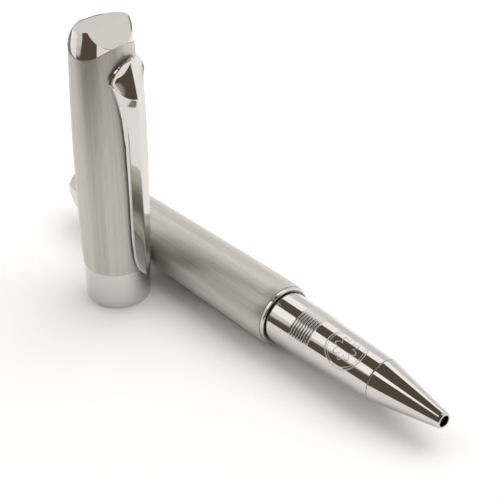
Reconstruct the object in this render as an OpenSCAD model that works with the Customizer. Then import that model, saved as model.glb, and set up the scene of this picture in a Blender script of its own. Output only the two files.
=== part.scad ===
// Capped rollerball pen, laid out open: the cap stands on its mouth with that mouth's centre at the
// origin, and the pen body lies on the same surface beside it with its nose toward +X.
// Pen pieces are drawn along their own axis (child z = distance ahead of the barrel mouth, child +x =
// downwards) and laid down by on_pen(). Cap pieces are drawn upright with the clip toward +X and
// turned by on_cap().

/* [Layout] */
// Distance from the cap's axis to the barrel mouth, along the pen
mouth_x = 38.4; // [36:0.1:44]
// Distance from the cap's axis to the pen's axis
axis_y = 13.75; // [13.75:0.05:20]
// Turn of the standing cap about its own axis
cap_turn = 9.3; // [-20:0.1:20]

/* [Barrel] */
// Radius of the barrel at its mouth, its widest place
barrel_r = 7.02; // [6.9:0.01:7.4]
// Loss of radius from the mouth to the rear end
barrel_drop = 1.25; // [1:0.05:1.3]
// Exponent of the taper, above 1 for a barrel that is fuller toward its mouth
barrel_curve = 1.35; // [1:0.05:1.8]
// Distance from the mouth to the rear seam, on the axis
barrel_seam = 56.3; // [56:0.1:57]
// Distance from the mouth to the ridge of the rear finial
barrel_len = 66.4; // [66:0.1:68]
// Bore of the barrel tube
barrel_bore_r = 5.2; // [5:0.05:5.25]

/* [Grip section] */
// Visible radius of the section where it leaves the barrel
section_r0 = 5.87; // [5.7:0.01:5.9]
// Radius of the section where the nose cone starts
section_r1 = 4.97; // [4.8:0.01:5.2]
// Length of the section ahead of the mouth
section_len = 30.2; // [29:0.1:32]
// Distance from the mouth to the nose rim
nose_end = 47.7; // [46:0.1:49]
// Radius of the flat rim round the nose hole
nose_rim_r = 1.76; // [1.6:0.01:1.9]
// Radius of the nose hole
nose_hole_r = 1.3; // [1.25:0.01:1.35]
// Number of ring grooves in the grip
groove_count = 8; // [4:1:10]
// First groove, ahead of the mouth
groove_start = 7.7; // [7:0.1:9]
// Spacing of the ring grooves
groove_pitch = 0.7; // [0.6:0.01:0.75]

/* [Section screw] */
// How far the section is backed off from home in this layout
backed_off = 4.5; // [4:0.1:4.8]
// Thread radius of the section's collar
thread_r = 4.5; // [4.3:0.01:4.6]
// Radial gap between parts that turn or slide in each other
running_gap = 0.05; // [0.02:0.01:0.09]

/* [Refill] */
// Overall length of the refill, tip included
refill_len = 98.5; // [98:0.1:98.6]
// Radius of the refill's tube
refill_r = 3; // [2.9:0.01:3.05]
// How far the point stands out of the nose once the section is home
point_out = 2.5; // [2:0.1:2.6]
// Radius of the metal tip
tip_r = 1.15; // [1.1:0.01:1.2]
// Radius of the writing ball
ball_r = 0.35; // [0.3:0.01:0.4]

/* [Cap] */
// Radius of the cap at its mouth
cap_r = 7; // [6.9:0.01:7.2]
// Bore of the cap's mouth, which the pen enters
cap_bore_r = 6; // [5.95:0.01:6.05]
// Height of the polished mouth band
band_h = 9.2; // [8:0.1:10]
// Height of the lowest place of the finial's curved seam
cap_seam = 63.07; // [63:0.01:63.2]
// Radius of the seam's curve, seen from the side
cap_seam_r = 8.3; // [8.2:0.05:10]
// Height of the finial's ridge
cap_ridge_h = 70.05; // [69.6:0.05:70.5]
// Turn of the cap's finial and its seam from the clip
finial_turn = -12; // [-20:1:0]

/* [Clip] */
// Height of the clip's pivot
pivot_h = 57.3; // [57:0.1:57.5]
// Distance of the pivot from the cap's axis
pivot_x = 4.6; // [4.5:0.05:4.7]
// Radius of the pivot pin
pivot_r = 0.6; // [0.5:0.05:0.7]
// Distance of the clip's ridge from the axis at the tip
clip_ridge_low = 8.6; // [8.5:0.05:8.9]
// Distance of the clip's ridge from the axis at the head
clip_ridge_high = 9.5; // [9.4:0.05:9.8]

/* [Hidden] */
$fn = 64;
eps = 0.01;
big = 40;                                   // side of a block that is larger than any finial
steel = [0.72, 0.70, 0.66];
bright = [0.86, 0.86, 0.87];
brass = [0.83, 0.68, 0.36];
black = [0.12, 0.12, 0.13];

// Places along the pen, as distances ahead of the barrel mouth
mouth_ring_front = 0.9;
mouth_ring_rear = -6.3;
mouth_ring_r = 6.5;                         // sleeve of the ring, inside the tube
mouth_ring_bore = 6.2;
mouth_ring_outer = barrel_r - 0.4;
mouth_edge = 0.5;                           // the tube's mouth is rounded over this length
section_rear = -1.6;
section_flange_front = -0.2;
flange_gap = 0.08;
section_flange_r = mouth_ring_bore - flange_gap;
o_ring_z = -0.8;
o_ring_wire = 0.35;
bush_rear = -15;
bush_bore = thread_r + running_gap;
collar_rear = -9.5;
collar_front = 6;
collar_bore = 3.2;
nose_spigot_rear = 24;
nose_spigot_r = 3.9;
nose_bore = 3.25;
nose_spring_seat = 43.5;
nose_spring_bore = 1.65;
point_x = nose_end - backed_off + point_out;
refill_rear = point_x - refill_len;
refill_plug_len = 2;
tube_front = 26;
collar_tip = 33;
collar_r0 = 2.6;
collar_r1 = 1.6;
tip_cone = 2.4;                             // length of the cone that holds the ball
ball_x = point_x - ball_r;
stop_rear = refill_rear - 1.5;
plug_rear = -56.8;
rear_seam_tilt = 23;
rear_ridge_up = 2.3;                        // the rear ridge lies this far above the pen's axis
rear_facet = 42;                            // slope of the rear facet, from straight across
stud_r = 1.25;

// Heights in the cap
sleeve_r = 6.45;                            // bore of the cap's tube, filled by its lining pieces
grip_ring_low = 13;
grip_ring_top = 15;
grip_ring_bore = 5.4;
cup_low = 15;
cup_top = 53;
cup_bore = 5.45;
cup_roof = 1.2;
plug_low = 54;
plug_top = 60.2;
cap_ridge_x = 3;                            // the ridge lies this far from the axis, toward the clip
cap_top_tilt = 18.7;                        // fall of the top face away from the clip
cap_facet = 50;                             // fall of the facet toward the clip
finial_lean = 9.5;
screw_r = 1.5;
screw_head_r = 2.6;
screw_x = -2.2;                             // the screw stands clear of the clip's tongue
tongue_w = 3;
tongue_h = 2.2;
tongue_in = 1.5;
tongue_out = 8.6;
slot_gap = 0.15;
clip_tip_h = 8;
clip_top_h = 63.4;
clip_spring_x = 2.4;

// Radius of the barrel a distance d behind its mouth
function barrel_radius(d) = barrel_r - barrel_drop * pow(max(d, 0) / 62, barrel_curve);

// Radius of the cap at height h: a gentle barrel shape, fullest just below half height
function cap_radius(h) = cap_r + 2.476 * h / 61.8 - 2.516 * pow(h / 61.8, 2);

// Radius of the section a distance t ahead of the mouth
function section_radius(t) = section_r0 + (section_r1 - section_r0) * t / section_len;

module on_pen() {
    translate([mouth_x, axis_y, barrel_r]) rotate([0, 90, 0]) children();
}

module on_cap() {
    rotate([0, 0, cap_turn]) children();
}

// A turned shape from [radius, distance] points
module turned(points, n = 96) {
    rotate_extrude($fn = n) polygon(points);
}

module disc(r, from, to) {
    translate([0, 0, from]) cylinder(h = to - from, r = r);
}

module ring(r_out, r_in, from, to) {
    difference() {
        disc(r_out, from, to);
        disc(r_in, from - 1, to + 1);
    }
}

// Everything on the far side (+z) of a plane through [x, 0, z] that rises toward +x by an angle
module beyond(x, z, angle) {
    translate([x, 0, z]) rotate([0, -angle, 0]) translate([-big / 2, -big / 2, 0]) cube(big);
}

// A coil spring as one swept tube, along z
module coil(r, wire, from, to, turns) {
    steps = 14;
    sides = 8;
    rings = steps * turns;
    function centre(i) = [r * cos(360 * i / steps), r * sin(360 * i / steps),
        from + wire + (to - from - 2 * wire) * i / rings];
    function point(i, j) = centre(i) + wire * [cos(360 * i / steps) * cos(360 * j / sides),
        sin(360 * i / steps) * cos(360 * j / sides), sin(360 * j / sides)];
    points = [for (i = [0:rings]) for (j = [0:sides - 1]) point(i, j)];
    walls = [for (i = [0:rings - 1]) for (j = [0:sides - 1])
        [i * sides + j, (i + 1) * sides + j, (i + 1) * sides + (j + 1) % sides, i * sides + (j + 1) % sides]];
    first = [[for (j = [0:sides - 1]) j]];
    last = [[for (j = [sides - 1:-1:0]) rings * sides + j]];
    polyhedron(points = points, faces = concat(first, walls, last), convexity = 10);
}

// ---- Barrel ----

module barrel_outline() {
    edge = [[0, 0], [mouth_ring_outer, 0], [barrel_r - 0.13, -0.13], [barrel_r, -mouth_edge]];
    stations = [for (d = [4:4:68]) [barrel_radius(d), -d]];
    turned(concat(edge, stations, [[0, -68]]), 128);
}

module barrel_tube() {
    color(steel) on_pen() difference() {
        barrel_outline();
        disc(barrel_bore_r, -70, 1);
        disc(mouth_ring_r, mouth_ring_rear, 1);
        mirror([0, 0, 1]) beyond(0, barrel_seam, rear_seam_tilt);
    }
}

module mouth_ring() {
    edge = 0.24;
    color(bright) on_pen() turned([
        [mouth_ring_bore, mouth_ring_rear],
        [mouth_ring_r, mouth_ring_rear],
        [mouth_ring_r, 0],
        [mouth_ring_outer, 0],
        [mouth_ring_outer, mouth_ring_front - 1.3 * edge],
        [mouth_ring_outer - edge / 3, mouth_ring_front - edge / 2],
        [mouth_ring_outer - edge, mouth_ring_front],
        [mouth_ring_bore + edge / 3, mouth_ring_front],
        [mouth_ring_bore, mouth_ring_front - edge / 3],
    ]);
}

module thread_bush() {
    color(brass) on_pen() ring(barrel_bore_r, bush_bore, bush_rear, mouth_ring_rear);
}

module barrel_liner() {
    wall = 0.5;
    color(brass) on_pen() ring(barrel_bore_r, barrel_bore_r - wall, stop_rear + 4.5, bush_rear);
}

module refill_stop() {
    color(black) on_pen() difference() {
        disc(barrel_bore_r, stop_rear, stop_rear + 4.5);
        disc(refill_r + 0.1, refill_rear, stop_rear + 5);
    }
}

module rear_plug() {
    color(brass) on_pen() ring(barrel_bore_r, stud_r, plug_rear, stop_rear);
}

module rear_finial() {
    shift = 0.05;
    color(bright) on_pen() difference() {
        turned([
            [0, -52],
            [barrel_radius(52) - shift, -52],
            [barrel_radius(58) - shift, -58],
            [barrel_radius(61) - 2 * shift, -61],
            [barrel_radius(64) - 4 * shift, -64],
            [barrel_radius(66) - 8 * shift, -66],
            [barrel_radius(67) - 12 * shift, -67],
            [0, -67],
        ], 128);
        beyond(0, -barrel_seam, -rear_seam_tilt);
        disc(barrel_bore_r, plug_rear, -40);
        disc(stud_r, plug_rear - 4.5, -40);
        mirror([0, 0, 1]) beyond(-rear_ridge_up, barrel_len, -rear_facet);
        mirror([0, 0, 1]) beyond(-rear_ridge_up, barrel_len, -5);
    }
}

module rear_stud() {
    color(steel) on_pen() disc(stud_r, plug_rear - 4.2, stop_rear - 0.3);
}

// ---- Refill ----

module refill_tube() {
    wall = 0.35;
    color([0.78, 0.79, 0.8]) on_pen() ring(refill_r, refill_r - wall, refill_rear + refill_plug_len, tube_front);
}

module refill_end_plug() {
    color(black) on_pen() union() {
        disc(refill_r - 0.1, refill_rear, refill_rear + refill_plug_len);
        disc(refill_r - 0.35, refill_rear + refill_plug_len - eps, refill_rear + 2 * refill_plug_len);
    }
}

module refill_ink() {
    color([0.08, 0.1, 0.35]) on_pen() disc(refill_r - 0.4, refill_rear + 2.2 * refill_plug_len, tube_front - 4);
}

module refill_collar() {
    color(black) on_pen() difference() {
        turned([
            [0, tube_front - 4],
            [refill_r - 0.35, tube_front - 4],
            [refill_r - 0.35, tube_front],
            [refill_r, tube_front],
            [collar_r0, tube_front + 1.5],
            [collar_r1, collar_tip],
            [0, collar_tip],
        ]);
        disc(tip_r, collar_tip - 4, collar_tip + 1);
    }
}

module refill_tip() {
    color(bright) on_pen() difference() {
        turned([
            [0, collar_tip - 4],
            [tip_r, collar_tip - 4],
            [tip_r, point_x - tip_cone],
            [ball_r + 0.08, point_x - 0.2],
            [0, point_x - 0.2],
        ]);
        translate([0, 0, ball_x]) sphere(r = ball_r + 0.02, $fn = 48);
        disc(0.15, collar_tip - 5, ball_x);
    }
}

module refill_ball() {
    color(steel) on_pen() translate([0, 0, ball_x]) sphere(r = ball_r, $fn = 48);
}

// ---- Grip section ----

module section_o_ring() {
    centre_r = mouth_ring_bore - running_gap - o_ring_wire;
    color(black) on_pen() translate([0, 0, o_ring_z]) rotate_extrude($fn = 96)
        translate([centre_r, 0]) circle(r = o_ring_wire, $fn = 32);
}

module grip_section() {
    groove_w = 0.34;
    groove_d = 0.16;
    o_groove_floor = mouth_ring_bore - 2 * running_gap - 2 * o_ring_wire;
    color(bright) on_pen() difference() {
        turned([
            [0, section_rear],
            [section_flange_r - 0.1, section_rear],
            [section_flange_r, section_rear + 0.1],
            [section_flange_r, section_flange_front],
            [section_r0, section_flange_front],
            [section_r0, 0],
            [section_r1, section_len],
            [0, section_len],
        ], 128);
        ring(section_flange_r + 1, o_groove_floor, o_ring_z - o_ring_wire - running_gap,
            o_ring_z + o_ring_wire + running_gap);
        for (i = [0:groove_count - 1]) {
            at = groove_start + i * groove_pitch;
            ring(section_r0 + 1, section_radius(at) - groove_d, at - groove_w / 2, at + groove_w / 2);
        }
        disc(thread_r, section_rear - 1, collar_front);
        disc(nose_bore, collar_front - 1, section_len);
        disc(nose_spigot_r, nose_spigot_rear, section_len + 1);
    }
}

// The screw thread is drawn as rings at its pitch
module thread_collar() {
    pitch = 0.75;
    depth = 0.2;
    color(brass) on_pen() difference() {
        disc(thread_r, collar_rear, collar_front);
        disc(collar_bore, collar_rear - 1, collar_front + 1);
        for (z = [collar_rear + pitch:pitch:section_rear - 1]) {
            ring(thread_r + 1, thread_r - depth, z - pitch / 4, z + pitch / 4);
        }
    }
}

module nose_cone() {
    lip = 0.25;
    color(bright) on_pen() difference() {
        turned([
            [0, nose_spigot_rear],
            [nose_spigot_r, nose_spigot_rear],
            [nose_spigot_r, section_len],
            [section_r1 - 0.1, section_len],
            [section_r1, section_len + 0.1],
            [nose_rim_r, nose_end - lip],
            [nose_rim_r - 0.08, nose_end - 0.08],
            [nose_rim_r - 0.2, nose_end],
            [0, nose_end],
        ], 128);
        turned([
            [0, nose_spigot_rear - 1],
            [nose_bore, nose_spigot_rear - 1],
            [nose_bore, section_len + 0.8],
            [nose_spring_bore, nose_spring_seat - 4],
            [nose_spring_bore, nose_spring_seat],
            [0, nose_spring_seat],
        ]);
        disc(nose_hole_r, nose_spring_seat - 1, nose_end + 1);
    }
}

module nose_spring() {
    wire = 0.13;
    color(steel) on_pen() coil(1.4, wire, collar_tip + 0.05, nose_spring_seat - 0.05, 8);
}

// ---- Cap ----

module cap_outline(low, high) {
    step = (high - low) / ceil((high - low) / 4);
    stations = [for (h = [low:step:high + eps]) [cap_radius(h), h]];
    turned(concat([[0, low]], stations, [[0, high]]), 128);
}

// Everything above the finial's seam, which rises in a curve to the front and to the back
module above_seam() {
    rotate([0, 0, finial_turn]) translate([0, big / 2, cap_seam + cap_seam_r]) rotate([90, 0, 0])
        cylinder(h = big, r = cap_seam_r, $fn = 160);
}

module cap_mouth_band() {
    round = 0.35;
    color(bright) on_cap() difference() {
        turned([
            [0, 0],
            [cap_r - 0.1, 0],
            [cap_r + 0.02, round / 3],
            [cap_r + 0.1, round],
            [cap_radius(band_h / 2), band_h / 2],
            [cap_radius(band_h) - 0.02, band_h - 0.1],
            [cap_radius(band_h) - 0.1, band_h],
            [0, band_h],
        ], 128);
        disc(sleeve_r, -1, band_h + 1);
    }
}

module cap_tube() {
    window_low = pivot_h - tongue_h / 2 - 0.35;
    window_high = pivot_h + tongue_h / 2 + 0.75;
    color(steel) on_cap() difference() {
        cap_outline(band_h, 67.5);
        disc(sleeve_r, band_h - 1, 70);
        above_seam();
        translate([0, -tongue_w / 2 - slot_gap, window_low])
            cube([10, tongue_w + 2 * slot_gap, window_high - window_low]);
    }
}

module cap_sleeve() {
    color(brass) on_cap() ring(sleeve_r, cap_bore_r, 0, grip_ring_low);
}

module cap_grip_ring() {
    color(black) on_cap() ring(sleeve_r, grip_ring_bore, grip_ring_low, grip_ring_top);
}

module cap_inner_cup() {
    color(black) on_cap() difference() {
        disc(sleeve_r, cup_low, cup_top);
        disc(cup_bore, cup_low - 1, cup_top - cup_roof);
    }
}

module cap_plug() {
    half = tongue_w / 2 + slot_gap;
    floor_z = pivot_h - tongue_h / 2 - 0.5;
    color(brass) on_cap() difference() {
        disc(sleeve_r, plug_low, plug_top);
        translate([tongue_in - 0.6, -half, floor_z]) cube([10, 2 * half, plug_top]);
        translate([clip_spring_x, 0, plug_low + 0.6]) cylinder(h = 5, r = 1.1);
        translate([pivot_x, 5.5, pivot_h]) rotate([90, 0, 0]) cylinder(h = 11, r = pivot_r);
        translate([screw_x, 0, plug_low - 1]) cylinder(h = 10, r = screw_r);
        translate([screw_x, 0, plug_low - 1]) cylinder(h = 3, r = screw_head_r);
    }
}

module cap_finial() {
    lean_h = cap_seam - 1.5;
    lean_r = [[0, -6], [6.9, -6], [6.8, 0], [6.62, 2], [6.38, 4], [6.12, 6], [5.77, 8], [5.36, 9.2],
        [5.05, 10.2], [0, 10.2]];
    color(bright) on_cap() difference() {
        union() {
            intersection() {
                rotate([0, 0, finial_turn]) translate([0, 0, lean_h]) rotate([0, finial_lean, 0])
                    turned(lean_r, 128);
                above_seam();
            }
            difference() {
                disc(sleeve_r, plug_top, 68);
                above_seam();
            }
        }
        rotate([0, 0, finial_turn]) beyond(cap_ridge_x, cap_ridge_h, cap_top_tilt);
        rotate([0, 0, finial_turn]) beyond(cap_ridge_x, cap_ridge_h, -cap_facet);
        translate([screw_x, 0, plug_top - 1]) cylinder(h = 5, r = screw_r);
    }
}

module cap_finial_screw() {
    slot_w = 0.6;
    color(steel) on_cap() translate([screw_x, 0, 0]) difference() {
        union() {
            disc(screw_head_r - 0.1, plug_low + 0.4, plug_low + 2);
            disc(screw_r, plug_low + 2 - eps, plug_top + 3.8);
        }
        translate([-4, -slot_w / 2, plug_low]) cube([8, slot_w, 1]);
    }
}

// ---- Clip ----

// Half of the clip's front outline, from the tip up to the top of its head, as [half width, height]
clip_side = [[0.25, clip_tip_h], [1.1, 9.2], [1.9, 10.8], [2.5, 13.2], [2.85, 17.5], [3, 24], [3, 34],
    [3.03, 41], [3.1, 46], [3.4, 50], [3.8, 53], [4.4, 56],
    [5.2, 58.9], [4.5, 60.3], [3.35, 61.7], [2, 62.8], [0.5, clip_top_h]];

module clip_front() {
    other = [for (i = [len(clip_side) - 1:-1:0]) [-clip_side[i][0], clip_side[i][1]]];
    polygon(concat(clip_side, other));
}

// The two long facets meet in the ridge and fall away to both edges
module clip_roof(fall) {
    lean = atan((clip_ridge_high - clip_ridge_low) / (clip_top_h - clip_tip_h));
    for (side = [0, 1]) mirror([0, side, 0])
        translate([clip_ridge_low, 0, clip_tip_h]) rotate([0, lean, 0]) rotate([0, 0, fall])
            translate([0, -big / 2, -big]) cube([big / 2, big, 3 * big]);
}

// What lies outside the rounded front of the head
module clip_dome() {
    dome_r = 6;
    difference() {
        translate([0, -big / 2, 0]) cube([big, big, 80]);
        translate([clip_ridge_high - dome_r, 0, -1]) cylinder(h = 82, r = dome_r);
    }
}

module clip() {
    back_x = 7.85;                          // flat back of the blade, clear of the cap's fullest place
    color(bright) on_cap() difference() {
        union() {
            difference() {
                translate([5.5, 0, 0]) rotate([90, 0, 90]) linear_extrude(height = 5) clip_front();
                clip_roof(-18);
                translate([0, -big / 2, 0]) cube([back_x, big, 52]);
                translate([0, 0, 50]) cylinder(h = 20, r = back_x);
                clip_dome();
            }
            translate([tongue_in, -tongue_w / 2, pivot_h - tongue_h / 2])
                cube([tongue_out - tongue_in, tongue_w, tongue_h]);
        }
        translate([pivot_x, 5, pivot_h]) rotate([90, 0, 0]) cylinder(h = 10, r = pivot_r + running_gap);
    }
}

module clip_pin() {
    pin_half = 3.7;
    color(steel) on_cap() translate([pivot_x, pin_half, pivot_h]) rotate([90, 0, 0])
        cylinder(h = 2 * pin_half, r = pivot_r);
}

module clip_spring() {
    color(steel) on_cap() translate([clip_spring_x, 0, 0])
        coil(0.75, 0.12, plug_low + 0.62, pivot_h - tongue_h / 2 - 0.02, 3);
}

barrel_tube();
mouth_ring();
thread_bush();
barrel_liner();
refill_stop();
rear_plug();
rear_finial();
rear_stud();
refill_tube();
refill_end_plug();
refill_ink();
refill_collar();
refill_tip();
refill_ball();
section_o_ring();
grip_section();
thread_collar();
nose_cone();
nose_spring();
cap_mouth_band();
cap_tube();
cap_sleeve();
cap_grip_ring();
cap_inner_cup();
cap_plug();
cap_finial();
cap_finial_screw();
clip();
clip_pin();
clip_spring();
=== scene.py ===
import math

import bmesh
import bpy
import numpy as np
from bpy.props import FloatProperty, FloatVectorProperty, IntProperty, PointerProperty
from mathutils import Matrix, Vector


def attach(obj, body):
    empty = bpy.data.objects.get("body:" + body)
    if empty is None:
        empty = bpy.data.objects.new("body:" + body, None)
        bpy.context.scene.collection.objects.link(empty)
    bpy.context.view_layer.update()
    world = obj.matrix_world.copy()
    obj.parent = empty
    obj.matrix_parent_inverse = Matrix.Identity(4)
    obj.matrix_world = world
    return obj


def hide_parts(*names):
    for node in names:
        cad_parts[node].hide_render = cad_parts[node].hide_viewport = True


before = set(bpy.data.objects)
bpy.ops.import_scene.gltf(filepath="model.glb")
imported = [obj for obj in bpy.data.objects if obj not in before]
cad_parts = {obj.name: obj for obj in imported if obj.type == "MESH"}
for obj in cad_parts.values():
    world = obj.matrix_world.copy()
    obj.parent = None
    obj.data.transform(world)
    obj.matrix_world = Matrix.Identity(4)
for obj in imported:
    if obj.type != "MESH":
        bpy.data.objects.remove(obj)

bl_info = {
    "name": "Rollerball pen",
    "version": (1, 0, 0),
    "blender": (4, 2, 0),
    "location": "View3D > Sidebar > Pen",
    "description": "Detailed looks for a capped rollerball pen",
    "category": "Add Mesh",
}

MM = 0.001


# ---- Sizes ----


def length(name, millimetres, description):
    """A size, stated in millimetres and kept in metres."""
    return FloatProperty(
        name=name, description=description, default=millimetres * MM, min=0.0, precision=5, unit="LENGTH"
    )


def angle(name, degrees, description):
    return FloatProperty(name=name, description=description, default=math.radians(degrees), subtype="ANGLE")


def colour(name, value, description):
    return FloatVectorProperty(
        name=name, description=description, default=value, size=3, min=0.0, max=1.0, subtype="COLOR"
    )


def factor(name, value, description):
    return FloatProperty(name=name, description=description, default=value, min=0.0, subtype="FACTOR")


class PenLayout(bpy.types.PropertyGroup):
    """Where the pen body and the cap stand."""

    mouth_x: length("Mouth", 38.4, "Distance from the cap's axis to the barrel's mouth")
    axis_y: length("Axis", 13.75, "Distance from the cap's axis to the pen's axis")
    barrel_r: length("Barrel radius", 7.02, "Radius of the barrel at its mouth")
    cap_turn: angle("Cap turn", 9.3, "Turn of the standing cap about its axis")


class PenBarrel(bpy.types.PropertyGroup):
    """The barrel and its rear end."""

    drop: length("Taper", 1.25, "Loss of radius over the reference length")
    curve: factor("Taper curve", 1.35, "Exponent of the taper")
    bore: length("Bore", 5.2, "Radius of the tube's bore")
    seam: length("Rear seam", 56.3, "Distance from the mouth to the rear seam")
    seam_tilt: angle("Rear seam tilt", 23.0, "Tilt of the rear seam")
    ridge: length("Rear ridge", 66.4, "Distance from the mouth to the rear ridge")
    ridge_up: length("Rear ridge height", 2.3, "Height of the rear ridge above the axis")
    facet: angle("Rear facet", 42.0, "Slope of the rear facet")
    top: angle("Rear top face", 5.0, "Slope of the rear end's upper face")
    ring_bore: length("Mouth ring bore", 6.2, "Inner radius of the ring in the mouth")
    ring_front: length("Mouth ring front", 0.9, "How far the ring stands out of the mouth")


class PenSection(bpy.types.PropertyGroup):
    """The grip section and the nose cone."""

    r0: length("Rear radius", 5.87, "Radius of the section at the mouth")
    r1: length("Front radius", 4.97, "Radius of the section where the cone starts")
    reach: length("Section length", 30.2, "Length of the section ahead of the mouth")
    nose: length("Nose", 47.7, "Distance from the mouth to the nose rim")
    rim: length("Rim radius", 1.76, "Radius of the nose rim")
    hole: length("Hole radius", 1.3, "Radius of the nose hole")
    grooves: IntProperty(name="Grooves", description="Number of ring grooves", default=8, min=0)
    groove_start: length("First groove", 7.7, "Distance from the mouth to the first groove")
    groove_pitch: length("Groove pitch", 0.72, "Spacing of the grooves")


class PenCap(bpy.types.PropertyGroup):
    """The cap."""

    band: length("Band height", 9.2, "Height of the polished mouth band")
    bore: length("Cap bore", 6.45, "Radius of the bore in the shell")
    seam: length("Cap seam", 63.07, "Height of the lowest place of the finial's seam")
    seam_r: length("Seam curve", 8.3, "Radius of the seam's curve, seen from the side")
    turn: angle("Finial turn", -12.0, "Turn of the finial and its seam from the clip")
    ridge: length("Cap ridge", 70.05, "Height of the finial's ridge")
    ridge_x: length("Cap ridge offset", 3.0, "Distance of the ridge from the axis")
    top: angle("Cap top face", 18.7, "Fall of the top face away from the clip")
    facet: angle("Cap facet", 49.5, "Fall of the facet toward the front")
    lean: angle("Finial lean", 9.5, "Lean of the finial toward its front")


class PenClip(bpy.types.PropertyGroup):
    """The clip."""

    tip: length("Tip height", 7.9, "Height of the clip's tip")
    top: length("Top height", 63.4, "Height of the top of the clip's head")
    ridge_low: length("Ridge at the tip", 8.6, "Distance of the ridge from the axis at the tip")
    ridge_high: length("Ridge at the head", 9.42, "Distance of the ridge from the axis at the head")
    crease: length("Crease height", 53.7, "Height where the head's crease meets the ridge")
    pivot: length("Pivot height", 57.3, "Height of the pin that the clip turns on")
    chamfer: length("Edge chamfer", 0.3, "Width of the bright chamfer along the edges")


class PenFinish(bpy.types.PropertyGroup):
    """Colours of the materials."""

    steel: colour("Brushed steel", (0.60, 0.58, 0.54), "Colour of the brushed tubes")
    chrome: colour("Polished chrome", (0.66, 0.645, 0.62), "Colour of the polished pieces")
    brass: colour("Brass", (0.80, 0.60, 0.28), "Colour of the turned brass pieces")
    # The refill's tip colour is darker than bare nickel: painted shade of the nose hole the tip sits in.
    nickel: colour("Nickel", (0.30, 0.29, 0.27), "Colour of the refill's tip, darkened with painted shade of the nose hole")
    carbide: colour("Carbide", (0.05, 0.05, 0.055), "Colour of the writing ball")
    wire: colour("Wire", (0.52, 0.52, 0.53), "Colour of springs, pins and screws")
    shell: colour("Refill tube", (0.68, 0.69, 0.70), "Colour of the refill's tube")
    black: colour("Black plastic", (0.018, 0.018, 0.02), "Colour of the moulded plastic pieces")
    rubber: colour("Rubber", (0.012, 0.012, 0.012), "Colour of the seal")
    ink: colour("Ink fibre", (0.012, 0.02, 0.10), "Colour of the ink-soaked rod")
    floor: colour("Table", (0.90, 0.895, 0.885), "Colour of the table")


class PenStage(bpy.types.PropertyGroup):
    """Camera and light."""

    lens: FloatProperty(
        name="Lens", description="Focal length", default=167.65, min=1.0, subtype="DISTANCE_CAMERA"
    )
    eye: FloatVectorProperty(
        name="Camera", description="Camera position", default=(0.3246, -0.2468, 0.3179), subtype="TRANSLATION"
    )
    shift: FloatVectorProperty(
        name="Shift", description="Sideways and upward shift of the lens", default=(-0.004, 0.0014), size=2
    )
    heading: angle("Heading", 48.58, "Camera's turn to the left of +Y")
    pitch: angle("Pitch", 37.18, "Camera's tilt below the horizon")
    roll: angle("Roll", -1.72, "Camera's roll")
    key: FloatProperty(
        name="Key light", description="Power of the soft key light", default=3.7, min=0.0, unit="POWER"
    )
    fill: factor("Room light", 1.0, "Strength of the room's light")


GROUPS = {
    "layout": PenLayout,
    "barrel": PenBarrel,
    "section": PenSection,
    "cap": PenCap,
    "clip": PenClip,
    "finish": PenFinish,
    "stage": PenStage,
}


class PenSettings(bpy.types.PropertyGroup):
    """All the settings of the pen."""

    layout: PointerProperty(type=PenLayout)
    barrel: PointerProperty(type=PenBarrel)
    section: PointerProperty(type=PenSection)
    cap: PointerProperty(type=PenCap)
    clip: PointerProperty(type=PenClip)
    finish: PointerProperty(type=PenFinish)
    stage: PointerProperty(type=PenStage)


def settings():
    return bpy.context.scene.pen_settings


# ---- Places ----


def on_pen():
    """Pen pieces are drawn along z, which is the distance ahead of the mouth, with x downwards."""
    layout = settings().layout
    turn = Matrix(((0, 0, 1, 0), (0, 1, 0, 0), (-1, 0, 0, 0), (0, 0, 0, 1)))
    return Matrix.Translation((layout.mouth_x, layout.axis_y, layout.barrel_r)) @ turn


def on_pen_rear():
    """The rear end is drawn along z, which is the distance behind the mouth, with x downwards."""
    return on_pen() @ Matrix.Diagonal((1, 1, -1, 1))


def on_cap():
    """Cap pieces are drawn upright with the clip toward x."""
    return Matrix.Rotation(settings().layout.cap_turn, 4, "Z")


# ---- Materials ----


def node_tree(name, inputs, outputs):
    """An empty shader node group with its sockets, and its input and output nodes."""
    tree = bpy.data.node_groups.new(name, "ShaderNodeTree")
    for socket, kind, default in inputs:
        made = tree.interface.new_socket(socket, in_out="INPUT", socket_type=kind)
        made.default_value = default
    for socket, kind in outputs:
        tree.interface.new_socket(socket, in_out="OUTPUT", socket_type=kind)
    return tree, tree.nodes.new("NodeGroupInput"), tree.nodes.new("NodeGroupOutput")


def link(tree, source, target):
    tree.links.new(source, target)


def feed(tree, value, socket):
    """Links a socket to an input, or sets the input to a plain value."""
    if isinstance(value, bpy.types.NodeSocket):
        link(tree, value, socket)
    else:
        socket.default_value = value


def maths(tree, operation, *values, clamp=False):
    """A maths node whose inputs are sockets or numbers; returns its output."""
    made = tree.nodes.new("ShaderNodeMath")
    made.operation = operation
    made.use_clamp = clamp
    for socket, value in zip(made.inputs, values):
        feed(tree, value, socket)
    return made.outputs[0]


def vector_maths(tree, operation, *values):
    made = tree.nodes.new("ShaderNodeVectorMath")
    made.operation = operation
    for socket, value in zip(made.inputs, values):
        feed(tree, value, socket)
    return made.outputs[0]


def noise(tree, vector, scale, detail=3.0, roughness=0.5):
    made = tree.nodes.new("ShaderNodeTexNoise")
    link(tree, vector, made.inputs["Vector"])
    made.inputs["Scale"].default_value = scale
    made.inputs["Detail"].default_value = detail
    made.inputs["Roughness"].default_value = roughness
    return made.outputs["Fac"]


def bump(tree, height, strength, distance, normal=None):
    made = tree.nodes.new("ShaderNodeBump")
    link(tree, height, made.inputs["Height"])
    feed(tree, strength, made.inputs["Strength"])
    feed(tree, distance, made.inputs["Distance"])
    if normal is not None:
        link(tree, normal, made.inputs["Normal"])
    return made.outputs["Normal"]


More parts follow.
